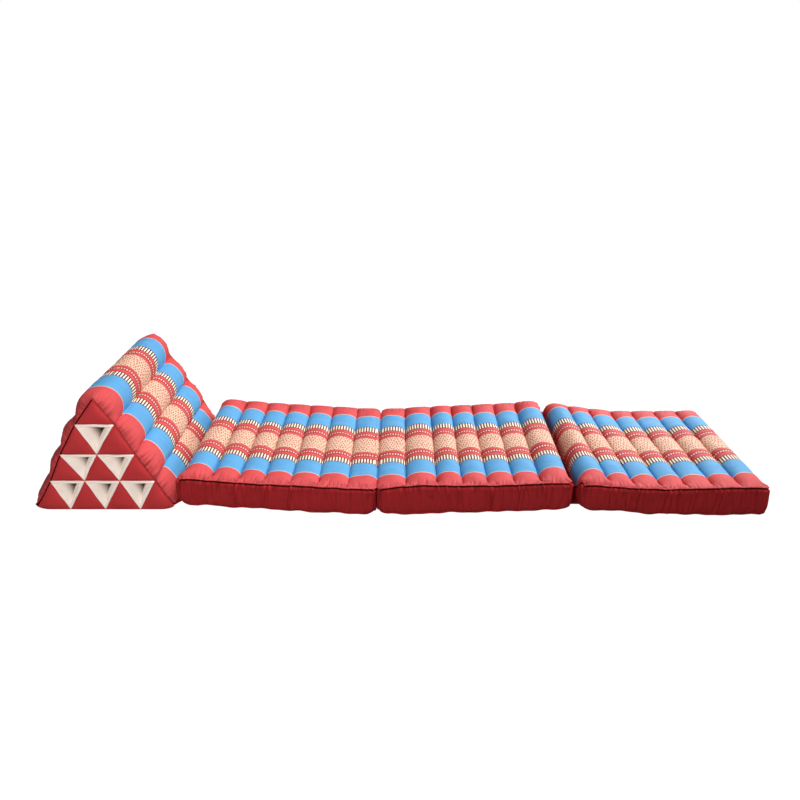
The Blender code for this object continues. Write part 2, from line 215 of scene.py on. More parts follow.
# How far the front end face was pulled out of true by its sewing, for each level from the floor up:
# to the right at its left edge and at its right edge, and upwards. It fades out into the cushion.
FACE_PULL = (
    (0.0010, 0.0010, 0.0), (0.0020, 0.0, -0.0070), (-0.0080, 0.0005, -0.0075),
    (-0.0060, 0.0030, 0.0), (0.0, 0.0, -0.0055),
)
PULL_REACH = 0.045
# The welt round each end face of the triangle: depth from the face, and how far it stands out.
WELT_ROWS = (
    (0.0, 0.0), (-0.0008, 0.0005), (-0.0003, 0.0012), (0.0007, 0.0010), (0.0013, -0.0008),
    (0.0030, -0.0034), (0.0052, -0.0030), (0.0064, -0.0008),
)
# The first strips between them are plain and the rest are the seam groove, dyed dark as painted shade.
WELT_STRIPS = 3
# Folds and lumps of the slopes start this far from the end faces.
WELT_CLEAR = 0.004
# A liner from its hem inwards: depth from the end face, inset from the sewn outline, and how far
# the middle of each wall bellies into the hollow. The cover's own walls have the same, just behind.
LINER_ROWS = (
    (0.0016, 0.0012, 0.0), (-0.0012, 0.0008, 0.0), (-0.0027, 0.0016, 0.0001), (-0.0030, 0.0030, 0.0002),
    (-0.0024, 0.0043, 0.0003), (-0.0004, 0.0052, 0.0004), (0.0030, 0.0060, 0.0008), (0.0075, 0.0076, 0.0014),
    (0.013, 0.0098, 0.0020), (0.020, 0.0122, 0.0024), (0.028, 0.0142, 0.0026), (0.038, 0.0157, 0.0026),
    (0.055, 0.0167, 0.0026), (0.100, 0.0172, 0.0026), (0.180, 0.0172, 0.0026), (0.2655, 0.0172, 0.0026),
)
BODY_HOLLOW_ROWS = (
    (0.0, 0.0, 0.0), (0.003, 0.0004, 0.0), (0.012, 0.0030, 0.0), (0.035, 0.0070, 0.0), (0.090, 0.0085, 0.0),
    (0.2655, 0.0090, 0.0),
)
LINER_STEPS = 20
# How far in from a mouth a liner starts to darken, and where it is darkest.
LINER_SHADE = (0.020, 0.062)
# Thickness of the liners and of the joint strips.
LINER_CLOTH, STRIP_CLOTH = 0.0010, 0.0009
# The joint strips end this far from the front and the back.
STRIP_MARGIN = 0.028 / MAT_DEPTH
STRIP_ROWS = 60
# How far the stitches lie above the cloth of the mats, and how much of their pitch they fill.
STITCH_LIFT, STITCH_SHARE = 0.0004, 0.75
# The print, out from the middle of the cloth: where its stripes and lines start and end.
DOTTED_BAND, DOT_GROUND = (0.0445, 0.0900), (0.0620, 0.0690)
DARK_LINES = ((0.0445, 0.0462), (0.0565, 0.0588), (0.0722, 0.0742), (0.0876, 0.0900))
LADDER, LADDER_BARS, LADDER_TEETH = (0.0900, 0.1205), (0.0908, 0.1165), (0.1180, 0.1205)
BLUE_FIELD, CREAM_LINE, RED_BORDER = (0.1205, 0.1945), (0.1945, 0.1971), (0.1971, 0.5000)
# Its repeats along the cloth, the distance from one row of dashes to the next, and the row of dots.
ZIGZAG_PITCH, DASH_PITCH, DOT_PITCH, BAR_PITCH = 0.0264, 0.0066, 0.0068, 0.0074
DASH_ROWS = 0.0140
DOTS_AT, DOT_HALF_WIDTH = 0.0655, 0.0030
# Height of the weave's threads.
WEAVE_RELIEF = 0.00025
# The stage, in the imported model's frame. Each light lies that way from what it shines on.
FLOOR_SIZE, FLOOR_LEVEL, FLOOR_GREY, FLOOR_GLOW = 30.0, -0.0005, 0.06, 0.02
# How much more daylight comes from the right than from the middle, as a share.
RIGHT_SHARE = 0.95
WINDOW_DIRECTION = (0.50, 0.20, 0.84)
SIDE_PANEL = {"size": 1.0, "place": (1.30, 1.60, 0.90), "direction": (0.3, 0.5, 0.8)}
FRONT_PANEL = {"size": 0.6, "place": (-0.45, -2.1, 0.80), "direction": (0.05, -2.1, 0.65)}
# The camera stands square to the front of the mats, over x = 0 of the drawing frame.
CAMERA_LENS, CAMERA_DISTANCE, CAMERA_HEIGHT, CAMERA_TILT = 38.83, 1.7962, 0.9314, 19.8


def mix(low, high, share):
    return low + (high - low) * share


def together(*parts):
    """Coordinates of any matching shapes as one array of points."""
    return np.stack(np.broadcast_arrays(*parts), axis=-1)


def dome(share):
    """Half-round profile: 0 at shares 0 and 1, and 1 in the middle."""
    return np.sqrt(np.clip(1.0 - (2.0 * share - 1.0) ** 2, 0.0, None))


def swell(distance, reach):
    """Quarter-round rise from a seam: 0 at the seam and 1 from reach onwards."""
    return np.sqrt(1.0 - (1.0 - np.clip(distance / reach, 0.0, 1.0)) ** 2)


def smooth(share):
    share = np.clip(share, 0.0, 1.0)
    return share * share * (3.0 - 2.0 * share)


def linear(red, green, blue):
    """A colour as seen, 0 to 255, in the linear values that shaders use."""
    seen = [value / 255 for value in (red, green, blue)]
    return [v / 12.92 if v <= 0.04045 else ((v + 0.055) / 1.055) ** 2.4 for v in seen]


def pleats(seed, length, kind, depth):
    """Uneven folds along a seam: place, depth, half width, reach away from the seam and slant."""
    chance = np.random.default_rng(seed)
    count = max(1, round(length / kind.spacing))
    places = (np.arange(count) + chance.uniform(0.1, 0.9, count)) * length / count
    return np.stack([
        places,
        kind.share * depth * chance.uniform(0.25, 1.0, count),
        kind.width * chance.uniform(0.6, 1.6, count),
        kind.reach * chance.uniform(0.35, 1.5, count),
        chance.uniform(-0.3, 0.3, count),
    ], axis=1)


def pleat_depth(folds, along, away):
    """How deep the folds are at these places along a seam and away from it."""
    total = np.zeros(np.broadcast(along, away).shape)
    for place, depth, width, reach, slant in folds:
        aside = (along - place - slant * away) / width
        total += depth * (1.0 - 0.9 * aside ** 2) * np.exp(-aside ** 2 - (away / reach) ** 1.5)
    return total * (1.0 - np.exp(-away / 0.0012))


def lumps(seed, along, across, size):
    """Slow unevenness of the stuffing, about -1 to 1, with lumps of this size."""
    chance = np.random.default_rng(seed)
    total = np.zeros(np.broadcast(along, across).shape)
    for _ in range(9):
        heading, turn = chance.uniform(0, math.pi), chance.uniform(0, 2 * math.pi)
        pace = 2 * math.pi / (size * chance.uniform(0.7, 2.2))
        total += np.sin(pace * (along * math.cos(heading) + across * math.sin(heading)) + turn)
    return total / 4.0


def grid_normals(points):
    normals = np.cross(np.gradient(points, axis=1), np.gradient(points, axis=0))
    return normals / np.maximum(np.linalg.norm(normals, axis=2, keepdims=True), 1e-12)


def running_length(points):
    """Length along a line of points, from its start to each of them."""
    steps = np.linalg.norm(np.diff(points, axis=0), axis=1)
    return np.concatenate([[0.0], np.cumsum(steps)])


def spaced(near, whole):
    """Distances across a cloth: these from each edge, and even steps between."""
    inner = FROM_SEAM[-1]
    middle = np.linspace(inner, whole - inner, round((whole - 2 * inner) / MIDDLE_STEP) + 1)
    return np.concatenate([near, middle, whole - np.array(near[::-1])])


def new_object(name, data):
    obj = bpy.data.objects.new(name, data)
    bpy.context.scene.collection.objects.link(obj)
    return obj


class Cloth:
    """Pieces of cloth laid as grids of points, sewn into one mesh where their edges meet."""

    def __init__(self):
        self.points, self.uvs, self.faces, self.slots, self.count = [], [], [], [], 0

    def _take(self, points, uvs):
        first = self.count
        self.points.append(points.reshape(-1, 3))
        self.uvs.append(uvs.reshape(-1, 2))
        self.count += len(self.points[-1])
        return first

    def grid(self, points, uvs, slot):
        """Rows of points. slot is one material index, or one for each strip between rows."""
        rows, columns = points.shape[:2]
        first = self._take(points, uvs)
        slots = [slot] * (rows - 1) if isinstance(slot, int) else slot
        for row in range(rows - 1):
            for column in range(columns - 1):
                corner = first + row * columns + column
                self.faces.append((corner, corner + 1, corner + columns + 1, corner + columns))
                self.slots.append(slots[row])

    def triangle(self, points, uvs, steps, slot, left_slot):
        """A three-cornered patch, row by row, each row one point shorter, and its strip at the left."""
        first = self._take(points, uvs)
        start = 0
        for row in range(steps):
            length = steps - row + 1
            for column in range(length - 1):
                corner = first + start + column
                self.faces.append((corner, corner + 1, corner + length))
                self.slots.append(slot if column else left_slot)
                if column < length - 2:
                    self.faces.append((corner + 1, corner + length + 1, corner + length))
                    self.slots.append(slot if column else left_slot)
            start += length

    def sew(self, name, finishes, closed=True):
        """One object of all the pieces, with the named finishes."""
        points, uvs = np.concatenate(self.points) + SHIFT, np.concatenate(self.uvs)
        mesh = bpy.data.meshes.new(name)
        mesh.from_pydata(points.tolist(), [], self.faces)
        for finish in finishes:
            mesh.materials.append(finish_of(finish))
        layer = mesh.uv_layers.new(name="Cloth")
        corners = np.zeros(len(mesh.loops), dtype=np.int32)
        mesh.loops.foreach_get("vertex_index", corners)
        layer.data.foreach_set("uv", uvs[corners].ravel().astype(np.float32))
        mesh.polygons.foreach_set("material_index", self.slots)
        mesh.polygons.foreach_set("use_smooth", [True] * len(mesh.polygons))
        bm = bmesh.new()
        bm.from_mesh(mesh)
        bmesh.ops.remove_doubles(bm, verts=bm.verts[:], dist=2e-5)
        if closed:
            bmesh.ops.recalc_face_normals(bm, faces=bm.faces[:])
            if bm.calc_volume(signed=True) < 0:
                bmesh.ops.reverse_faces(bm, faces=bm.faces[:])
        bm.to_mesh(mesh)
        bm.free()
        return new_object(name, mesh)


def dress(obj, node):
    """Hide the solid that a piece of cloth shows, and hang the piece under the root body."""
    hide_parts(node)
    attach(obj, "root")


def thicken(obj, thickness):
    shell = obj.modifiers.new("cloth", "SOLIDIFY")
    shell.thickness = thickness
    shell.offset = -1.0


# Shaders.


class Wiring:
    """Short words for making and joining the nodes of one tree."""

    def __init__(self, tree):
        self.tree = tree

    def add(self, kind, **settings):
        node = self.tree.nodes.new(kind)
        for name, value in settings.items():
            setattr(node, name, value)
        return node

    def feed(self, socket, value):
        if isinstance(value, bpy.types.NodeSocket):
            self.tree.links.new(value, socket)
        else:
            socket.default_value = value

    def math(self, operation, *values):
        node = self.add("ShaderNodeMath", operation=operation)
        for socket, value in zip(node.inputs, values):
            self.feed(socket, value)
        return node.outputs[0]

    def blend(self, share, first, second):
        node = self.add("ShaderNodeMix", data_type="RGBA")
        self.feed(node.inputs[0], share)
        self.feed(node.inputs[6], first)
        self.feed(node.inputs[7], second)
        return node.outputs[2]

    def noise(self, where, scale, detail=2.0):
        node = self.add("ShaderNodeTexNoise")
        self.feed(node.inputs["Vector"], where)
        self.feed(node.inputs["Scale"], scale)
        self.feed(node.inputs["Detail"], detail)
        return node.outputs["Fac"]

    def place(self, x, y, z=0.0):
        node = self.add("ShaderNodeCombineXYZ")
        for socket, value in zip(node.inputs, (x, y, z)):
            self.feed(socket, value)
        return node.outputs[0]

    def times(self, first, second):
        return self.math("MULTIPLY", first, second)

    def apart(self, first, second):
        return self.math("ABSOLUTE", self.math("SUBTRACT", first, second))

    def cloth_uv(self):
        """Place on the cloth in metres, round the rolls and across the stripes."""
        parts = self.add("ShaderNodeSeparateXYZ")
        self.feed(parts.inputs[0], self.add("ShaderNodeUVMap", uv_map="Cloth").outputs[0])
        return parts.outputs[0], parts.outputs[1]

    def grain(self, u, v, along, across, start=0.0, detail=2.0):
        """Noise on the cloth with this many grains to the metre each way."""
        where = self.place(self.math("MULTIPLY_ADD", u, along, start), self.times(v, across))
        return self.noise(where, 1.0, detail)


def new_group(name, numbers, results):
    """A shader node group that takes these numbers, by name and default, and gives these results."""
    tree = bpy.data.node_groups.new(name, "ShaderNodeTree")
    for socket, value in numbers.items():
        tree.interface.new_socket(socket, in_out="INPUT", socket_type="NodeSocketFloat").default_value = value
    for socket in results:
        tree.interface.new_socket(socket, in_out="OUTPUT", socket_type="NodeSocketFloat")
    wire = Wiring(tree)
    return tree, wire, wire.add("NodeGroupInput").outputs, wire.add("NodeGroupOutput").inputs


def new_material(name, roughness, shine):
    material = bpy.data.materials.new(name)
    material.use_nodes = True
    shader = material.node_tree.nodes["Principled BSDF"].inputs
    shader["Roughness"].default_value = roughness
    shader["Specular IOR Level"].default_value = shine
    return material, Wiring(material.node_tree), shader


def woven_cotton():
    """Node group: threads, slubs and soft blotches of plain-woven cotton, by the Cloth UV map."""
    if "Woven cotton" in bpy.data.node_groups:
        return bpy.data.node_groups["Woven cotton"]
    numbers = {"Thread": 0.0009, "Unevenness": 1.0}
    tree, wire, given, out = new_group("Woven cotton", numbers, ("Tone", "Height"))
    u, v = wire.cloth_uv()
    pace = wire.math("DIVIDE", 2 * math.pi, given["Thread"])
    warp = wire.math("SINE", wire.times(u, pace))
    weft = wire.math("SINE", wire.times(v, pace))
    weave = wire.math("MULTIPLY_ADD", wire.times(warp, weft), 0.5, 0.5)
    slubs = wire.math("ADD", wire.grain(u, v, 45.0, 900.0), wire.grain(u, v, 900.0, 45.0))
    slubs = wire.math("SUBTRACT", slubs, 1.0)
    where = wire.add("ShaderNodeTexCoord").outputs["Object"]
    blotch = wire.math("SUBTRACT", wire.noise(where, 26.0, 4.0), 0.5)
    change = wire.math("ADD", wire.times(slubs, 0.16), wire.times(blotch, 0.20))
    wire.feed(out["Tone"], wire.math("MULTIPLY_ADD", change, given["Unevenness"], 1.0))
    wire.feed(out["Height"], wire.math("MULTIPLY_ADD", slubs, 0.8, weave))
    return tree


def gathered_seam():
    """Node group: fine folds that run away from a long seam, where V is 0 or the depth of a panel, with
    painted shade that darkens the colour in them.
    """
    if "Gathered seam" in bpy.data.node_groups:
        return bpy.data.node_groups["Gathered seam"]
    numbers = {"Depth": 0.0015, "Reach": 0.020}
    tree, wire, given, out = new_group("Gathered seam", numbers, ("Shade", "Height"))
    u, v = wire.cloth_uv()
    folds = None
    for along, across, width, start in ((50.0, 6.0, 0.030, 0.0), (110.0, 10.0, 0.045, 7.0)):
        off_line = wire.math("DIVIDE", wire.apart(wire.grain(u, v, along, across, start, 1.0), 0.5), width)
        line = wire.math("MAXIMUM", wire.math("SUBTRACT", 1.0, off_line), 0.0)
        folds = line if folds is None else wire.math("MAXIMUM", folds, wire.times(line, 0.5))
    from_edge = wire.math("MINIMUM", wire.math("ABSOLUTE", v), wire.apart(v, MAT_DEPTH))
    reaches = wire.math("DIVIDE", from_edge, given["Reach"])
    folds = wire.times(folds, wire.math("POWER", 2.718, wire.times(-1.0, reaches)))
    wire.feed(out["Shade"], wire.math("SUBTRACT", 1.0, wire.times(folds, 0.50)))
    wire.feed(out["Height"], wire.times(folds, wire.times(given["Depth"], -1.0)))
    return tree


def cotton(name, colour, unevenness=1.0, glaze=None, gathers=None, through=0.0):
    """Cotton of one colour, or of a colour that the function colour(wire, u, v) makes."""
    settings = bpy.context.scene.cushion_cloth
    shine, roughness = glaze or (0.02, settings.roughness)
    material, wire, shader = new_material(name, roughness, shine)
    weave = wire.add("ShaderNodeGroup", node_tree=woven_cotton())
    weave.inputs["Thread"].default_value = settings.thread
    weave.inputs["Unevenness"].default_value = unevenness
    colour = colour(wire, *wire.cloth_uv()) if callable(colour) else tuple(colour)
    # Painted light: a constant glow in the cloth's own colour, as if light came through it.
    if through:
        shader["Emission Strength"].default_value = through
        wire.feed(shader["Emission Color"], colour)
    toned = wire.add("ShaderNodeVectorMath", operation="SCALE")
    wire.feed(toned.inputs[0], colour)
    tone, height = weave.outputs["Tone"], wire.times(weave.outputs["Height"], WEAVE_RELIEF)
    if gathers:
        folds = wire.add("ShaderNodeGroup", node_tree=gathered_seam())
        folds.inputs["Depth"].default_value = gathers[0]
        folds.inputs["Reach"].default_value = gathers[1]
        # The folds' painted shade darkens the cloth's colour.
        tone = wire.times(tone, folds.outputs["Shade"])
        height = wire.math("ADD", height, folds.outputs["Height"])
    wire.feed(toned.inputs["Scale"], tone)
    wire.feed(shader["Base Color"], toned.outputs[0])
    bump = wire.add("ShaderNodeBump")
    bump.inputs["Strength"].default_value = 1.0
    bump.inputs["Distance"].default_value = 1.0
    wire.feed(bump.inputs["Height"], height)
    wire.feed(shader["Normal"], bump.outputs[0])
    return material


def printed_stripes(wire, u, v):
    """The chart of the printed stripes, mirrored about the middle of the cloth."""
    dye = bpy.context.scene.cushion_cloth
    wobble = wire.grain(u, v, 160.0, 160.0)
    away = wire.apart(v, MAT_DEPTH / 2)
    away = wire.math("MULTIPLY_ADD", wire.math("SUBTRACT", wobble, 0.5), 0.0012, away)

    def band(stripe):
        low, high = stripe
        return wire.math("COMPARE", away, (low + high) / 2, (high - low) / 2)

    def part_of(value, pitch):
        return wire.math("FRACT", wire.math("DIVIDE", value, pitch))

    def paint(share, colour, under):
        return wire.blend(share, under, (*colour, 1.0))

    # Short dashes in zigzag rows on the cream middle.
    zigzag = wire.times(wire.apart(part_of(u, ZIGZAG_PITCH), 0.5), 2.0)
    rows = wire.math("MULTIPLY_ADD", wobble, 1.3, wire.math("DIVIDE", v, DASH_ROWS))
    rows = wire.math("ADD", zigzag, rows)
    stagger = wire.times(wire.math("FLOOR", rows), 0.5)
    dashes = wire.math("FRACT", wire.math("MULTIPLY_ADD", u, 1 / DASH_PITCH, stagger))
    in_row = wire.math("LESS_THAN", wire.apart(wire.math("FRACT", rows), 0.5), 0.30)
    marks = wire.times(in_row, wire.math("LESS_THAN", wire.apart(dashes, 0.5), 0.28))
    cloth = wire.blend(marks, (*dye.cream, 1.0), (*dye.rose, 1.0))
    # Red band with dark lines and a row of cream dots.
    cloth = paint(band(DOTTED_BAND), dye.band_red, cloth)
    for line in DARK_LINES:
        cloth = paint(band(line), dye.deep_red, cloth)
    dot_u = wire.math("DIVIDE", wire.apart(part_of(u, DOT_PITCH), 0.5), 0.27)
    dot_v = wire.math("DIVIDE", wire.math("SUBTRACT", away, DOTS_AT), DOT_HALF_WIDTH)
    from_dot = wire.math("ADD", wire.times(dot_u, dot_u), wire.times(dot_v, dot_v))
    cloth = paint(wire.times(band(DOT_GROUND), 0.85), dye.deep_red, cloth)
    cloth = paint(wire.math("LESS_THAN", from_dot, 1.0), dye.light_cream, cloth)
    # Ladder of cream bars on maroon, with small teeth on the blue side.
    cloth = paint(band(LADDER), dye.maroon, cloth)
    bars = wire.math("LESS_THAN", part_of(u, BAR_PITCH), 0.52)
    cloth = paint(wire.times(band(LADDER_BARS), bars), dye.light_cream, cloth)
    cloth = paint(wire.times(band(LADDER_TEETH), bars), dye.blue, cloth)
    # Blue field, a thin cream line and the red border.
    streaks = wire.times(wire.grain(u, v, 12.0, 260.0), 0.8)
    blue = wire.blend(streaks, (*dye.blue, 1.0), (*dye.deep_blue, 1.0))
    cloth = wire.blend(band(BLUE_FIELD), cloth, blue)
    cloth = paint(band(CREAM_LINE), dye.cream, cloth)
    return paint(band(RED_BORDER), dye.border_red, cloth)


def shaded_tube(wire, u, v):
    """White cotton that greys deep inside a tube, where little light gets in."""
    dye = bpy.context.scene.cushion_cloth
    middle = TRIANGLE_LENGTH / 2
    from_mouth = wire.math("SUBTRACT", middle, wire.apart(v, middle))
    deep = wire.add("ShaderNodeMapRange", interpolation_type="SMOOTHSTEP")
    for name, value in zip(("Value", "From Min", "From Max"), (from_mouth, *LINER_SHADE)):
        wire.feed(deep.inputs[name], value)
    return wire.blend(deep.outputs["Result"], (*dye.white, 1.0), (*dye.painted_shade_white, 1.0))


def finish_of(name):
    """The named cotton, made the first time that it is asked for."""
    if name in bpy.data.materials:
        return bpy.data.materials[name]
    dye = bpy.context.scene.cushion_cloth
    if name == "printed_panel":
        return cotton(name, printed_stripes, gathers=(0.0016, 0.022), glaze=(dye.print_shine, 0.65))
    if name == "liner_white":
        return cotton(name, shaded_tube, unevenness=0.5, through=dye.painted_glow)
    # The patches and bands take darker copies of the border red: painted shade.
    if name == "patch_red":
        return cotton(name, dye.shaded_patch_red, unevenness=1.2)
    # Painted shade: a dark dye on the seam grooves, where their shadow falls.
    if name == "seam_shadow_red":
        return cotton(name, dye.seam_shadow_red)
    return cotton(name, dye.shaded_band_red, unevenness=1.2, gathers=(0.0014, 0.030))


# Mats.


def lift_of(mat, along, across):
    away = along if mat.raised == "left" else 1.0 - along
    return mix(mat.near, mat.far, across) * np.clip(1.0 - away / mat.reach, 0.0, 1.0)


def roll_place(mat, along):
    """Place along a mat in rolls, from 0 at its left end to 7 at its right end."""
    return np.interp(along, VALLEYS[mat.name], range(ROLLS_PER_MAT + 1))


def top_height(mat, along, across):
    """Height of the top of a mat over its bottom, before its folds."""
    place = np.clip(roll_place(mat, along), 0.0, ROLLS_PER_MAT - 1e-9)
    roll = place.astype(int)
    in_front = across < 0.5
    depth = MAT_DEPTH * np.minimum(across, 1.0 - across)
    swollen = swell(depth, MAT_FADE)
    wavering = SEWING_WANDER * lumps(SEAM_SEED, along + mat.left, across, 0.08)
    pull = (np.interp(along, PULLED_AT, SEAM_PULL[mat.name]) + wavering) * (1.0 - swollen) * in_front
    seam = mix(FRONT_SEAM_HEIGHT, mat.back_seam, across) + pull
    crest = np.array(mat.crests)[roll] - FRONT_SEAM_HEIGHT
    start, dip = np.where(in_front, VALLEY_START[0], VALLEY_START[1]), np.where(in_front, *SEAM_DIP)
    drop = np.interp(place, range(ROLLS_PER_MAT + 1), VALLEY_DROP[mat.name])
    drawn_in = mix(dip, 1.0, smooth(depth / start)) * (crest + drop) * (1.0 - dome(place - roll))
    from_side = (mat.right - mat.left) * np.minimum(along, 1.0 - along)
    corner = (1.0 - swell(from_side, CORNER_REACH[0])) * (1.0 - swell(MAT_DEPTH * across, CORNER_REACH[1]))
    # The panel reaches over the left end from just behind the front seam, and less so at the back.
    over_end = END_DROP[mat.name] * (1.0 - swell(place, END_DROP_REACH)) * smooth((across - 0.03) / 0.12)
    over_end = over_end * (1.0 - 0.6 * smooth((across - 0.85) / 0.15))
    return seam + swollen * crest - drawn_in - over_end - CORNER_DROP * corner


def print_shift(mat, along, across):
    """How far the print has slid towards the back: a smooth curve through the three measured depths."""
    total = 0.0
    for knot, (left, right) in zip(PRINT_KNOTS, PRINT_SHIFT[mat.name]):
        others = [other for other in PRINT_KNOTS if other != knot]
        weight = math.prod(1.0 / (knot - other) for other in others)
        total = total + weight * (across - others[0]) * (across - others[1]) * mix(left, right, along)
    return total


def rounded(x, y, x_low, x_high, y_low, y_high, radius):
    """Points near a plan corner, pulled onto a quarter circle."""
    out_x = radius - np.minimum(x - x_low, x_high - x)
    out_y = radius - np.minimum(y - y_low, y_high - y)
    corner = (out_x > 0) & (out_y > 0)
    pull = np.where(corner, np.maximum(out_x, out_y) / np.maximum(np.hypot(out_x, out_y), 1e-9), 1.0)
    left, front = x - x_low < x_high - x, y - y_low < y_high - y
    turned_x = np.where(left, x_low + radius - out_x * pull, x_high - radius + out_x * pull)
    turned_y = np.where(front, y_low + radius - out_y * pull, y_high - radius + out_y * pull)
    return np.where(corner, turned_x, x), np.where(corner, turned_y, y)


def mat_points(mat, along, across, level, outset, height):
    """Points of a mat by shares of its length, depth and band height, standing out by outset."""
    turn = swell(level, END_TURN)
    flare = CORNER_FLARE[mat.name] * across
    x_low = mat.left + mix(*mat.left_in, turn) - mat.left_bulge * dome(level) - flare - outset
    x_high = mat.right - mix(*mat.right_in, turn) + mat.right_bulge * dome(level) + outset
    y_low = -BAND_BULGE * dome(level) - outset
    y_high = MAT_DEPTH - y_low
    x, y = mix(x_low, x_high, along), mix(y_low, y_high, across)
    x, y = rounded(x, y, x_low, x_high, y_low, y_high, MAT_CORNER_RADIUS)
    uneven = FLOOR_WAVE * (1.0 + np.clip(lumps(FLOOR_SEED, x, y, OTHER_LUMPS), -1.0, 1.0))
    uneven = uneven * np.clip(1.0 - level / END_TURN, 0.0, 1.0)
    return together(x, y, height + uneven + lift_of(mat, along, across))


def roll_shares(steps):
    """Shares round one roll, closer together at the sewn valleys."""
    even = np.arange(steps) / steps
    return 0.3 * even + 0.35 * (1.0 - np.cos(math.pi * even))


def mat_top(mat, number, column, row):
    """The printed panel: lumpy, with pleats at its front and back seams."""
    sewing = bpy.context.scene.cushion_sewing
    length = mat.right - mat.left
    top = mat_points(mat, column, row, 1.0, LIP_ROWS[0][1], top_height(mat, column, row))
    from_seam, from_end = np.minimum(row, 1.0 - row) * MAT_DEPTH, np.minimum(column, 1.0 - column) * length
    inside = 1.0 - np.exp(-np.minimum(from_seam, from_end) / LUMP_START)
    rough = sewing.unevenness * lumps(number, column * length, row * MAT_DEPTH, TOP_LUMPS) * inside
    for side, (kind, away) in enumerate(((FRONT_PLEATS, row), (BACK_PLEATS, 1.0 - row))):
        folds = pleats(10 * number + side, length, kind, sewing.pleat_depth)
        folds = pleat_depth(folds, column * length, away * MAT_DEPTH)
        rough = rough - folds * np.clip(from_end / 0.008, 0, 1)
    return top + grid_normals(top) * rough[..., None]


def mat_sides(mat, number, along, across):
    """The sides once round from the front left corner, their length round and how far down they are."""
    sewing = bpy.context.scene.cushion_sewing
    ones, zeros = np.ones(len(across) - 1), np.zeros(len(across) - 1)
    around_along = np.concatenate([along, ones, along[-2::-1], zeros])
    around_across = np.concatenate([0 * along, across[1:], 0 * along[1:] + 1, across[-2::-1]])
    edge = top_height(mat, around_along, around_across)
    levels = [1.0 - drop / edge for drop, _ in LIP_ROWS] + [share + 0 * edge for share, _ in BAND_ROWS]
    levels = np.stack(levels)
    outs = np.array([out for _, out in LIP_ROWS + BAND_ROWS])[:, None]
    sides = mat_points(mat, around_along, around_across, levels, outs, levels * edge)
    run = running_length(sides[len(sides) // 2])
    under_top, over_floor = (1.0 - levels) * edge, levels * edge
    creases = np.concatenate([pleats(10 * number + 3, run[-1], BAND_CREASES, sewing.crease_depth), [
        (place * (mat.right - mat.left), LONG_FOLD.share * force * sewing.crease_depth, LONG_FOLD.width,
         LONG_FOLD.reach * force, LONG_FOLD.slant * math.sin(40 * place))
        for place, force in BAND_FOLDS[mat.name]
    ]])
    nips = pleats(10 * number + 4, run[-1], BAND_PLEATS, sewing.pleat_depth)
    ground = pleats(10 * number + 5, run[-1], GROUND_CREASES, sewing.crease_depth)
    waves = sewing.unevenness * lumps(number + BAND_SEED, run, over_floor, BAND_LUMPS)
    clear = np.clip(np.minimum(under_top - UNDER_SEAM, over_floor - OVER_FLOOR) / 0.004, 0.0, 1.0)
    dent = pleat_depth(creases, run, under_top) + pleat_depth(nips, run, under_top)
    dent = (dent + pleat_depth(ground, run, over_floor) - waves) * clear
    sides = sides - grid_normals(sides) * dent[..., None]
    sides[:, -1] = sides[:, 0]
    return sides, run, under_top


def mat_bottom(mat, column, row):
    """The bottom, drawn up along the sewn lines."""
    place = roll_place(mat, column)
    off_line = np.abs(place - np.round(place)) * (mat.right - mat.left) / ROLLS_PER_MAT
    line = np.exp(-(off_line / BOTTOM_GROOVE.width) ** 2) * ((column > 0.05) & (column < 0.95))
    from_seam = np.minimum(row, 1.0 - row) * MAT_DEPTH
    raised = BOTTOM_GROOVE.depth * line * np.clip(from_seam / 0.02, 0, 1)
    return mat_points(mat, column, row, 0.0, 0.0, raised)


def make_mat(mat, number):
    places = np.concatenate(
        [roll + roll_shares(STEPS_ROUND_ROLL) for roll in range(ROLLS_PER_MAT)] + [[ROLLS_PER_MAT]]
    )
    along = np.interp(places, range(ROLLS_PER_MAT + 1), VALLEYS[mat.name])
    across = spaced(FROM_SEAM[:-1], MAT_DEPTH) / MAT_DEPTH
    column, row = along[None, :], across[:, None]
    cloth = Cloth()
    top = mat_top(mat, number, column, row)
    round_rolls = running_length(top[len(across) // 2])
    cloth.grid(top, together(round_rolls, row * MAT_DEPTH - print_shift(mat, column, row)), 0)
    sides, run, under_top = mat_sides(mat, number, along, across)
    # The seam strips under the lip take the dark dye, painted shade in the groove.
    slots = [0] * PANEL_STRIPS + [2] * SEAM_SHADOW_STRIPS + [1] * (len(sides) - 1 - PANEL_STRIPS - SEAM_SHADOW_STRIPS)
    cloth.grid(sides, together(run, MAT_DEPTH + under_top), slots)
    cloth.grid(mat_bottom(mat, column, row), together(column * (mat.right - mat.left), row * MAT_DEPTH), 1)
    stitch_lines[mat.name] = [
        top[4:-4, roll * STEPS_ROUND_ROLL] + (0.0, 0.0, STITCH_LIFT) for roll in range(1, ROLLS_PER_MAT)
    ]
    obj = cloth.sew(f"{mat.name}_cover", ("printed_panel", "band_red", "seam_shadow_red"))
    dress(obj, mat.name)


# Triangle.


def section_point(across, up):
    """Section of the triangle before its rolls: across in cells from the middle, up in rows."""
    x = across * TRIANGLE_BASE / CELLS
    from_corner = TRIANGLE_HALF - np.abs(x)
    sag = TRIANGLE_CURL * swell(from_corner, CURL_REACH) * np.clip(1.0 - up, 0.0, 1.0)
    return x, TRIANGLE_CURL + TRIANGLE_RISE * up / CELLS - sag


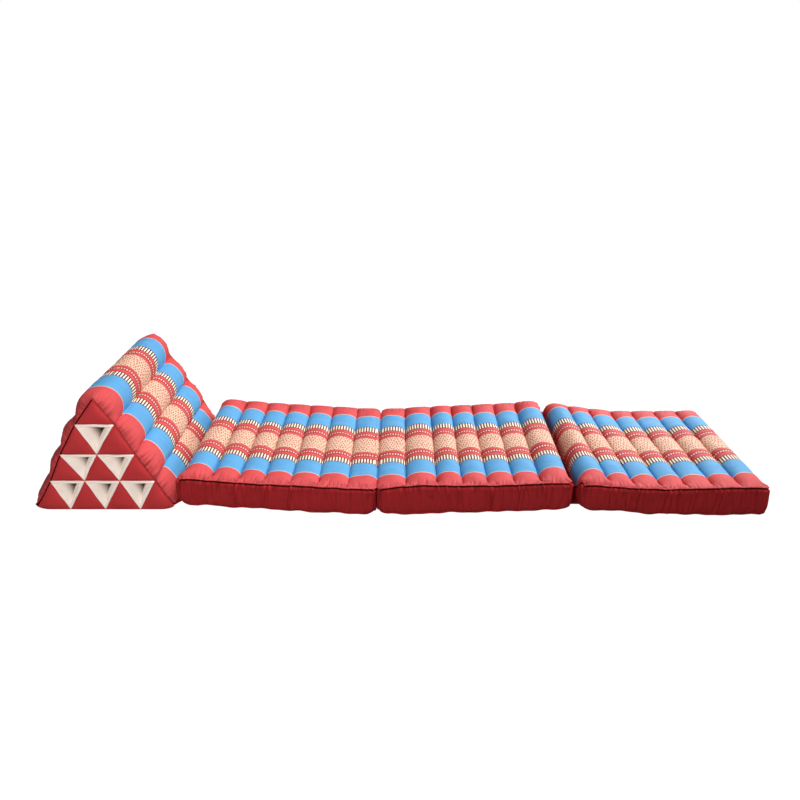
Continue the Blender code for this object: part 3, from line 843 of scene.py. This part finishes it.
def roll_offset(up, side, fade, far):
    """Outward swelling (x, z) of the rolls on one slope. far is 0 at the front end and 1 at the back."""
    place = np.clip(up, 0.0, CELLS - 1e-9)
    roll = place.astype(int)
    share = place - roll
    amount = (FRONT_ROLLS if side > 0 else BACK_ROLLS)[roll] * dome(share)
    x, z = side * TRIANGLE_RISE / TRIANGLE_SLOPE * amount, TRIANGLE_HALF / TRIANGLE_SLOPE * amount
    # The top roll is half an oval from its valley over the ridge.
    valley_x, valley_z = section_point(0.5, CELLS - 1.0)
    half_width = mix(*(TOP_ROLL_RIGHT if side > 0 else TOP_ROLL_LEFT), far)
    whole_turn = math.pi - np.arcsin(valley_x / half_width)
    ridge = mix(*RIDGE_HEIGHT, far)
    height = (ridge - valley_z) / (1.0 - np.cos(whole_turn))
    turn = whole_turn * (1.0 - share)
    straight_x, straight_z = section_point(side * (CELLS - place) / 2, place)
    top = roll == CELLS - 1
    x = np.where(top, side * half_width * np.sin(turn) - straight_x, x)
    z = np.where(top, ridge - height * (1.0 - np.cos(turn)) - straight_z, z)
    return x * fade, z * fade


def triangle_rows():
    """Depths of the rows of cloth along the triangle, and how far the welts stand out at each."""
    near = [depth for depth in FROM_SEAM[:-1] if depth > WELT_ROWS[-1][0] + 0.001]
    outs = [out for _, out in WELT_ROWS] + [0.0] * len(near)
    depths = spaced([depth for depth, _ in WELT_ROWS] + near, TRIANGLE_LENGTH)
    return depths, np.concatenate([outs, np.zeros(len(depths) - 2 * len(outs)), outs[::-1]])


def lattice(across, up, depth):
    """Points of the straight-sided triangle, pulled out of true at its front end."""
    across, up, depth = np.broadcast_arrays(across, up, depth)
    x, z = section_point(across, up)
    share = 0.5 + across / np.maximum(CELLS - up, 0.01)
    left, right, raised = (np.interp(up, range(CELLS + 1), pull) for pull in zip(*FACE_PULL))
    fade = np.exp(-np.clip(depth, 0.0, None) / PULL_REACH)
    x, z = x + mix(left, right, np.clip(share, 0.0, 1.0)) * fade, z + raised * fade
    return together(TRIANGLE_CENTRE + x, TRIANGLE_FRONT + depth, z)


def slope_sheet(side, depths, outs):
    """Cloth over one slope, from the bottom edge to the ridge, swollen into rolls."""
    sewing = bpy.context.scene.cushion_sewing
    up = np.arange(CELLS * STEPS_ROUND_CELL + 1) / STEPS_ROUND_CELL
    points = lattice(side * (CELLS - up) / 2, up, depths[:, None])
    from_end = np.minimum(depths, TRIANGLE_LENGTH - depths)[:, None]
    fade = swell(np.clip(from_end - WELT_ROWS[-1][0], 0.0, None), TRIANGLE_FADE)
    dx, dz = roll_offset(up, side, fade, np.clip(depths / TRIANGLE_LENGTH, 0.0, 1.0)[:, None])
    ridge = up > CELLS - 1e-6
    welt = smooth(up / 0.25) * outs[:, None]
    points[..., 0] += dx + side * TRIANGLE_RISE / TRIANGLE_SLOPE * welt * np.where(ridge, 0.0, 1.0)
    points[..., 2] += dz + np.where(ridge, 1.0, TRIANGLE_HALF / TRIANGLE_SLOPE) * welt
    run = up * TRIANGLE_SLOPE / CELLS
    inside = 1.0 - np.exp(-np.clip(from_end - WELT_CLEAR, 0.0, None) / LUMP_START)
    edges = smooth(up / 0.2) * smooth((CELLS - up) / 0.3)
    rough = sewing.unevenness * lumps(SLOPE_SEED + side, run, depths[:, None], OTHER_LUMPS) * inside * edges
    for end, away in enumerate((depths, TRIANGLE_LENGTH - depths)):
        away = np.clip(away - WELT_CLEAR, 0.0, None)[:, None]
        for seed, kind in SLOPE_PLEATS.items():
            folds = pleats(seed + 2 * side + end, run[-1], kind, sewing.pleat_depth)
            rough = rough - pleat_depth(folds, run, away) * edges
    return points + grid_normals(points) * (side * rough)[..., None]


def down_triangle_ring(column, row, inset, bow, steps):
    """One turn round the wall of a hollow: lattice places across and up."""
    share = np.arange(steps) / steps
    across = np.concatenate([share - 0.5, 0.5 * (1 - share), -0.5 * share, [-0.5]])
    up = np.concatenate([np.ones(steps), 1.0 - share, share, [1.0]])
    corners = np.sort(np.stack([1.0 - up, up / 2 + across, up / 2 - across]), axis=0)
    inner = TRIANGLE_BASE / CELLS / (2 * math.sqrt(3))
    shrink = (1.0 - inset / inner) * (1.0 - bow / inner * 4 * corners[1] * corners[2])
    return column + across * shrink, row + 2 / 3 + (up - 2 / 3) * shrink


def mirrored(rows):
    """Rows of a hollow from its front mouth to its middle, and on to its far mouth."""
    return [*rows, *((TRIANGLE_LENGTH - depth, inset, bow) for depth, inset, bow in rows[-2::-1])]


def tube(column, row, rows, steps):
    """Points of a tube through one hollow, with a ring for each of these rows."""
    rings = [
        lattice(*down_triangle_ring(column, row, inset, bow, steps), depth)
        for depth, inset, bow in mirrored(rows)
    ]
    return np.stack(rings)


def hollow_places():
    """Column and row of each hollow: one under the top patch, then two, then three."""
    return [
        (column - (CELLS - 2 - row) / 2, row)
        for row in range(CELLS - 2, -1, -1)
        for column in range(CELLS - 1 - row)
    ]


def make_patch(cloth, column, row, end):
    """One upright three-cornered patch of an end face, puffed in its middle."""
    steps = STEPS_ROUND_CELL
    places = [(place, level) for level in range(steps + 1) for place in range(steps + 1 - level)]
    place, level = np.array(places).T
    across, up = column + (place + level / 2) / steps, row + level / steps
    first = up - row
    second = across - column - first / 2
    third = np.clip(1.0 - first - second, 0.0, 1.0)
    middle = np.clip(27 * first * np.clip(second, 0, 1) * third, 0.0, 1.0)
    wander = SEWING_WANDER * lumps(PATCH_SEED + int(4 * column) + row, across, up, 0.6) * middle
    puff = PATCH_PUFF * middle ** 0.6 + wander
    from_left = TRIANGLE_BASE / CELLS * (across + (CELLS - up) / 2) * SQUARE_TO_SLOPE
    groove = LEFT_SEAM_GROOVE
    puff = puff - groove.depth * np.exp(-(((from_left - groove.place) / groove.width) ** 2))
    points = lattice(across, up, -puff if end == 0 else TRIANGLE_LENGTH + puff)
    at_left = column == -(CELLS - row) / 2
    # The strip along the patch's left seam takes the dark seam dye, painted shade in the groove there.
    cloth.triangle(points, points[:, ::2], steps, 1, 2 if at_left else 1)


def make_triangle():
    cloth = Cloth()
    depths, outs = triangle_rows()
    front, back = (slope_sheet(side, depths, outs) for side in (1, -1))
    stitch_lines["triangle"] = [
        points[9:-9, cell * STEPS_ROUND_CELL] for points in (front, back) for cell in range(1, CELLS)
    ]
    front_run, back_run = (running_length(points[len(depths) // 2]) for points in (front, back))
    # The welt's seam strips take the dark dye, painted shade in the groove.
    welt = [1] * WELT_STRIPS + [2] * (len(WELT_ROWS) - 1 - WELT_STRIPS)
    slots = welt + [0] * (len(depths) - 1 - 2 * len(welt)) + welt[::-1]
    for points, run in ((front, front_run), (back, 2 * front_run[-1] - back_run)):
        cloth.grid(points, together(run, np.clip(depths, 0, TRIANGLE_LENGTH)[:, None]), slots)
    across = np.linspace(-CELLS / 2, CELLS / 2, CELLS * STEPS_ROUND_CELL + 1)
    bottom = lattice(across, 0.0, depths[:, None])
    cloth.grid(bottom, bottom[..., :2], 1)
    for end in (0, 1):
        for row in range(CELLS):
            for place in range(CELLS - row):
                make_patch(cloth, place - (CELLS - row) / 2, row, end)
    for column, row in hollow_places():
        walls = tube(column, row, BODY_HOLLOW_ROWS, STEPS_ROUND_CELL)
        cloth.grid(walls, walls[..., :2], 1)
    obj = cloth.sew("triangle_cover", ("printed_panel", "patch_red", "seam_shadow_red"))
    dress(obj, "triangle_cushion")


def make_liner(number, column, row):
    """White cotton tube through one hollow, with a rolled hem at both mouths."""
    rings = tube(column, row, LINER_ROWS, LINER_STEPS)
    share = np.linspace(0.0, 3.0, 3 * LINER_STEPS + 1)
    depths = np.array([depth for depth, _, _ in mirrored(LINER_ROWS)])[:, None]
    ripple = lumps(LINER_SEED + number, share, depths * 6, 0.5) * np.abs(np.sin(math.pi * share))
    inward = lattice(column, row + 2 / 3, 0.0) - rings
    inward[..., 1] = 0.0
    inward /= np.linalg.norm(inward, axis=2, keepdims=True)
    rings += inward * (SEWING_WANDER * ripple)[..., None]
    rings[:, -1] = rings[:, 0]
    around, along = running_length(rings[3]), running_length(rings[:, LINER_STEPS // 2])
    cloth = Cloth()
    cloth.grid(rings, together(around, along[:, None]), 0)
    obj = cloth.sew(f"liner_{number}", ("liner_white",), closed=False)
    thicken(obj, LINER_CLOTH)
    dress(obj, f"hollow_liner_{number}")


# Joint strips.


def smooth_line(points, rounds=2):
    """The line with its corners cut, which keeps its two ends."""
    for _ in range(rounds):
        softer = [points[0]]
        for first, second in zip(points, points[1:]):
            softer += [mix(first, second, 0.25), mix(first, second, 0.75)]
        points = np.stack(softer + [points[-1]])
    return points


def top_point(mat, along, across):
    """A place of the strip over the first fold, a little above a mat."""
    along, across = np.array(along), np.array(across)
    above = np.interp(np.minimum(along, 1.0 - along), (0.006, 0.018), (0.0016, 0.0013))
    return mat_points(mat, along, across, 1.0, 0.0, top_height(mat, along, across) + above)


def bottom_point(mat, along, across):
    """A place of a strip just under a mat."""
    return mat_points(mat, np.array(along), np.array(across), 0.0, 0.0, -0.0006)


def make_strip(name, node, path, finish):
    """Cloth from cushion to cushion, along a path that the function path(across) gives."""
    rows = np.linspace(STRIP_MARGIN, 1.0 - STRIP_MARGIN, STRIP_ROWS)
    points = np.stack([smooth_line(np.stack(path(row))) for row in rows])
    run = running_length(points[STRIP_ROWS // 2])
    printed = rows * MAT_DEPTH - print_shift(MATS[1], 0.0, rows)
    cloth = Cloth()
    cloth.grid(points, together(run, printed[:, None]), 0)
    obj = cloth.sew(name, (finish,), closed=False)
    thicken(obj, STRIP_CLOTH)
    dress(obj, node)


def triangle_to_mat(across):
    edge = TRIANGLE_CENTRE + TRIANGLE_HALF
    lift = float(lift_of(MATS[0], 0.0, across))
    depth = across * MAT_DEPTH
    return [
        np.array((edge + 0.0008, depth, TRIANGLE_CURL)),
        np.array((mix(edge, MATS[0].left, 0.6), depth, mix(TRIANGLE_CURL, lift, 0.5))),
        bottom_point(MATS[0], 0.0, across),
        bottom_point(MATS[0], 0.012, across),
    ]


def over_the_fold(across):
    places = ((MATS[0], 0.982), (MATS[0], 0.994), (MATS[0], 1.0), (MATS[1], 0.006), (MATS[1], 0.018))
    return [top_point(mat, along, across) for mat, along in places]


def under_the_fold(across):
    places = ((MATS[1], 0.986), (MATS[1], 1.0), (MATS[2], 0.0), (MATS[2], 0.014))
    return [bottom_point(mat, along, across) for mat, along in places]


# Stitches. The lines of points to stitch along are noted down here as the covers are sewn.

stitch_lines = {}


def stitch_rows():
    """Geometry tree: one small round-ended stitch after another along every line."""
    if "Stitch rows" in bpy.data.node_groups:
        return bpy.data.node_groups["Stitch rows"]
    tree = bpy.data.node_groups.new("Stitch rows", "GeometryNodeTree")
    sockets = tree.interface
    sockets.new_socket("Geometry", in_out="INPUT", socket_type="NodeSocketGeometry")
    for name, value in (("Pitch", 0.0055), ("Length", 0.0040), ("Thickness", 0.0008)):
        sockets.new_socket(name, in_out="INPUT", socket_type="NodeSocketFloat").default_value = value
    sockets.new_socket("Thread", in_out="INPUT", socket_type="NodeSocketMaterial")
    sockets.new_socket("Geometry", in_out="OUTPUT", socket_type="NodeSocketGeometry")
    wire = Wiring(tree)
    given, out = wire.add("NodeGroupInput"), wire.add("NodeGroupOutput")
    curve = wire.add("GeometryNodeMeshToCurve")
    wire.feed(curve.inputs["Mesh"], given.outputs["Geometry"])
    places = wire.add("GeometryNodeResampleCurve", mode="LENGTH")
    wire.feed(places.inputs["Curve"], curve.outputs["Curve"])
    wire.feed(places.inputs["Length"], given.outputs["Pitch"])
    turned = wire.add("FunctionNodeAlignRotationToVector", axis="Z")
    wire.feed(turned.inputs["Vector"], wire.add("GeometryNodeInputTangent").outputs[0])
    half = wire.math("MULTIPLY", given.outputs["Length"], 0.5)
    bead = wire.add("GeometryNodeMeshIcoSphere")
    bead.inputs["Radius"].default_value = 1.0
    bead.inputs["Subdivisions"].default_value = 1
    each = wire.add("GeometryNodeInstanceOnPoints")
    wire.feed(each.inputs["Points"], places.outputs["Curve"])
    wire.feed(each.inputs["Instance"], bead.outputs["Mesh"])
    wire.feed(each.inputs["Rotation"], turned.outputs["Rotation"])
    wire.feed(each.inputs["Scale"], wire.place(given.outputs["Thickness"], given.outputs["Thickness"], half))
    real = wire.add("GeometryNodeRealizeInstances")
    wire.feed(real.inputs["Geometry"], each.outputs["Instances"])
    dyed = wire.add("GeometryNodeSetMaterial")
    wire.feed(dyed.inputs["Geometry"], real.outputs["Geometry"])
    wire.feed(dyed.inputs["Material"], given.outputs["Thread"])
    wire.feed(out.inputs["Geometry"], dyed.outputs["Geometry"])
    return tree


def sew_lines(name, lines, thread, **sizes):
    """Stitches along these lines of points, as one plain mesh."""
    mesh = bpy.data.meshes.new(name + "_lines")
    edges, first = [], 0
    for line in lines:
        edges += [(first + step, first + step + 1) for step in range(len(line) - 1)]
        first += len(line)
    mesh.from_pydata((np.concatenate(lines) + SHIFT).tolist(), edges, [])
    obj = new_object(name, mesh)
    tree = stitch_rows()
    rows = obj.modifiers.new("stitches", "NODES")
    rows.node_group = tree
    values = {"Thread": thread, **sizes}
    for socket in tree.interface.items_tree:
        if socket.in_out == "INPUT" and socket.name in values:
            rows[socket.identifier] = values[socket.name]
    graph = bpy.context.evaluated_depsgraph_get()
    made = bpy.data.meshes.new_from_object(obj.evaluated_get(graph))
    obj.modifiers.remove(rows)
    made.name = name
    obj.data = made
    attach(obj, "root")


def thread_of(name, colour):
    """Twisted thread of one colour."""
    material, wire, shader = new_material(name, 0.7, 0.1)
    twist = wire.noise(wire.add("ShaderNodeTexCoord").outputs["Object"], 900.0)
    darker = tuple(0.5 * value for value in colour)
    wire.feed(shader["Base Color"], wire.blend(twist, (*darker, 1.0), (*colour, 1.0)))
    return material


# Stage.


def lay_floor():
    """A pale floor that looks white to the camera and sends little light back up."""
    bm = bmesh.new()
    bmesh.ops.create_grid(bm, x_segments=8, y_segments=8, size=FLOOR_SIZE)
    bmesh.ops.translate(bm, vec=(0.0, 0.0, FLOOR_LEVEL), verts=bm.verts[:])
    mesh = bpy.data.meshes.new("floor")
    bm.to_mesh(mesh)
    bm.free()
    paper, wire, shader = new_material("pale_floor", 0.9, 0.5)
    shader["Base Color"].default_value = (FLOOR_GREY, FLOOR_GREY, FLOOR_GREY, 1.0)
    shader["Emission Color"].default_value = (1.0, 1.0, 1.0, 1.0)
    seen = wire.add("ShaderNodeLightPath").outputs["Is Camera Ray"]
    wire.feed(shader["Emission Strength"], wire.math("MULTIPLY_ADD", seen, 1.0 - FLOOR_GLOW, FLOOR_GLOW))
    mesh.materials.append(paper)
    new_object("floor", mesh)


def light_all_round(daylight):
    """A white world that is brighter at the right, and plain white to the camera."""
    world = bpy.data.worlds.new("studio")
    world.use_nodes = True
    wire = Wiring(world.node_tree)
    sky = world.node_tree.nodes["Background"].inputs
    heading = wire.add("ShaderNodeSeparateXYZ")
    wire.feed(heading.inputs[0], wire.add("ShaderNodeTexCoord").outputs["Generated"])
    around = wire.math("MULTIPLY_ADD", heading.outputs[0], RIGHT_SHARE * daylight, daylight)
    seen = wire.add("ShaderNodeLightPath").outputs["Is Camera Ray"]
    wire.feed(sky["Strength"], wire.math("MAXIMUM", around, seen))
    sky["Color"].default_value = (1.0, 1.0, 1.0, 1.0)
    bpy.context.scene.world = world


def set_lamp(name, light, direction, place=(0.0, 0.0, 0.0)):
    lamp = new_object(name, light)
    lamp.location = place
    lamp.rotation_euler = Vector(direction).to_track_quat("Z", "Y").to_euler()


def set_panel(name, power, size, place, direction):
    """A round soft light."""
    light = bpy.data.lights.new(name, "AREA")
    light.shape, light.size, light.energy = "DISK", size, power
    set_lamp(name, light, direction, place)


def set_camera():
    camera = bpy.data.cameras.new("photo_view")
    camera.sensor_width = 36.0
    camera.lens = CAMERA_LENS
    eye = new_object("photo_view", camera)
    eye.location = (SHIFT[0], SHIFT[1] - CAMERA_DISTANCE, CAMERA_HEIGHT)
    eye.rotation_euler = Euler((math.radians(90.0 - CAMERA_TILT), 0.0, 0.0))
    bpy.context.scene.camera = eye


# Settings.


def dye(name, what, red, green, blue):
    return FloatVectorProperty(
        name=name, description=what, subtype="COLOR", size=3, min=0.0, max=1.0,
        default=linear(red, green, blue),
    )


def amount(name, what, value, **limits):
    return FloatProperty(name=name, description=what, default=value, min=0, **limits)


def metres(name, what, value, low=0.0):
    return FloatProperty(name=name, description=what, default=value, min=low, unit="LENGTH")


class CushionCloth(bpy.types.PropertyGroup):
    """Dyes and weave of the cotton."""

    border_red: dye("Border red", "Plain red border of the printed panels", 214, 72, 74)
    band_red: dye("Band red", "Red of the dotted bands", 212, 74, 76)
    deep_red: dye("Deep red", "Thin lines of the dotted bands", 140, 18, 30)
    maroon: dye("Maroon", "Ground of the ladder stripes", 96, 12, 20)
    cream: dye("Cream", "Middle field, dots and thin lines", 234, 196, 168)
    light_cream: dye("Light cream", "Bars of the ladder stripes", 250, 236, 210)
    rose: dye("Rose", "Small dashes in the middle field", 190, 108, 92)
    blue: dye("Blue", "Blue field", 98, 172, 224)
    deep_blue: dye("Deep blue", "Streaks in the blue field", 68, 142, 194)
    # Painted shade: the wine red is the border red a little darker and the dark red much darker, as shaded
    # copies of one cloth.
    shaded_band_red: dye("Dark red", "Side bands and bottoms of the mats", 168, 42, 45)
    shaded_patch_red: dye("Wine red", "End patches and bottom of the triangle", 204, 62, 64)
    # Painted shade: this dye stands in for the shadow in the seam grooves.
    seam_shadow_red: dye("Seam red", "Stitched-in seams", 66, 10, 14)
    white: dye("White", "Liners of the hollows", 255, 242, 231)
    # Painted shade: the liners' white darkened deep inside their hollows.
    painted_shade_white: dye("Deep white", "Liners deep inside their hollows", 84, 60, 50)
    roughness: amount("Roughness", "Roughness of the cotton", 0.85, max=1)
    thread: metres("Thread", "Distance between threads", 0.0009, low=0.0002)
    print_shine: amount("Print shine", "Faint gloss of the printed panels", 0.36, max=1)
    # Painted light: how strongly the liners glow.
    painted_glow: amount("Light through", "Light that the thin liners let through", 0.12)


class CushionSewing(bpy.types.PropertyGroup):
    """Depth of the folds that sewing and stuffing leave."""

    pleat_depth: metres("Pleats", "Depth of the small folds at the seams", 0.0040)
    crease_depth: metres("Creases", "Depth of the long creases in the side bands", 0.0085)
    stitch_pitch: metres("Stitch pitch", "Distance from stitch to stitch", 0.0055, low=0.002)
    unevenness: metres("Unevenness", "Height of the lumps in the stuffing", 0.0012)


class CushionStage(bpy.types.PropertyGroup):
    """Light round the cushion."""

    daylight: amount("Daylight", "Strength of the light from all round", 0.24)
    window: amount("Window", "Strength of the large soft light over the right end", 3.05)
    softness: amount("Softness", "Breadth of the large soft light in degrees", 28.0, max=120)
    panel: amount("Side panel", "Power of the round soft light behind the last mat", 26.0)
    front: amount("Front panel", "Power of the small light in front of the triangle", 23.0)


# Operators.


class CUSHION_OT_mats(bpy.types.Operator):
    """Sew the covers of the three fold-out mats"""

    bl_idname = "cushion.mats"
    bl_label = "Mats"

    def execute(self, context):
        for number, mat in enumerate(MATS, start=1):
            make_mat(mat, number)
        return {"FINISHED"}


class CUSHION_OT_triangle(bpy.types.Operator):
    """Sew the cover of the triangle cushion and its end patches"""

    bl_idname = "cushion.triangle"
    bl_label = "Triangle"

    def execute(self, context):
        make_triangle()
        return {"FINISHED"}


class CUSHION_OT_liners(bpy.types.Operator):
    """Sew the white liners of the six hollows"""

    bl_idname = "cushion.liners"
    bl_label = "Liners"

    def execute(self, context):
        for number, (column, row) in enumerate(hollow_places(), start=1):
            make_liner(number, column, row)
        return {"FINISHED"}


class CUSHION_OT_joints(bpy.types.Operator):
    """Sew the strips of cloth that hold the four cushions together"""

    bl_idname = "cushion.joints"
    bl_label = "Joint strips"

    def execute(self, context):
        make_strip("joint_strip_1", "hinge_strip_1", triangle_to_mat, "band_red")
        make_strip("joint_strip_2", "hinge_strip_2", over_the_fold, "printed_panel")
        make_strip("joint_strip_3", "hinge_strip_3", under_the_fold, "band_red")
        return {"FINISHED"}


class CUSHION_OT_stitches(bpy.types.Operator):
    """Stitch along the sewn valleys of the mats and of the triangle"""

    bl_idname = "cushion.stitches"
    bl_label = "Stitches"

    def execute(self, context):
        if not stitch_lines:
            raise RuntimeError("Sew the mats and the triangle before their stitches.")
        pitch = context.scene.cushion_sewing.stitch_pitch
        thread = thread_of("dark_thread", tuple(context.scene.cushion_cloth.maroon))
        for name, lines in stitch_lines.items():
            sew_lines(f"{name}_stitches", lines, thread, Pitch=pitch, Length=STITCH_SHARE * pitch)
        return {"FINISHED"}


class CUSHION_OT_stage(bpy.types.Operator):
    """Lay the pale floor and set the soft light and the camera"""

    bl_idname = "cushion.stage"
    bl_label = "Stage"

    def execute(self, context):
        settings = context.scene.cushion_stage
        lay_floor()
        light_all_round(settings.daylight)
        window = bpy.data.lights.new("window", "SUN")
        window.angle = math.radians(settings.softness)
        window.energy = settings.window
        set_lamp("window", window, WINDOW_DIRECTION)
        set_panel("side_panel", settings.panel, **SIDE_PANEL)
        set_panel("front_panel", settings.front, **FRONT_PANEL)
        set_camera()
        context.scene.view_settings.view_transform = "Standard"
        return {"FINISHED"}


OPERATORS = (
    CUSHION_OT_mats, CUSHION_OT_triangle, CUSHION_OT_liners, CUSHION_OT_joints, CUSHION_OT_stitches,
    CUSHION_OT_stage,
)


class CUSHION_PT_panel(bpy.types.Panel):
    """Makes the cushion piece by piece"""

    bl_idname = "CUSHION_PT_panel"
    bl_label = "Triangle cushion"
    bl_space_type = "VIEW_3D"
    bl_region_type = "UI"
    bl_category = "Cushion"

    def draw(self, context):
        for group in ("cushion_cloth", "cushion_sewing", "cushion_stage"):
            settings = getattr(context.scene, group)
            box = self.layout.box()
            for name in settings.bl_rna.properties.keys():
                if name not in {"rna_type", "name"}:
                    box.prop(settings, name)
        for operator in OPERATORS:
            self.layout.operator(operator.bl_idname)


SETTINGS = {
    "cushion_cloth": CushionCloth, "cushion_sewing": CushionSewing, "cushion_stage": CushionStage,
}


def register():
    for group in (*SETTINGS.values(), *OPERATORS, CUSHION_PT_panel):
        bpy.utils.register_class(group)
    for name, group in SETTINGS.items():
        setattr(bpy.types.Scene, name, PointerProperty(type=group))


def unregister():
    for name in SETTINGS:
        delattr(bpy.types.Scene, name)
    for group in reversed((*SETTINGS.values(), *OPERATORS, CUSHION_PT_panel)):
        bpy.utils.unregister_class(group)


def main():
    register()
    bpy.ops.cushion.mats()
    bpy.ops.cushion.triangle()
    bpy.ops.cushion.liners()
    bpy.ops.cushion.joints()
    bpy.ops.cushion.stitches()
    bpy.ops.cushion.stage()


if __name__ == "__main__":
    main()
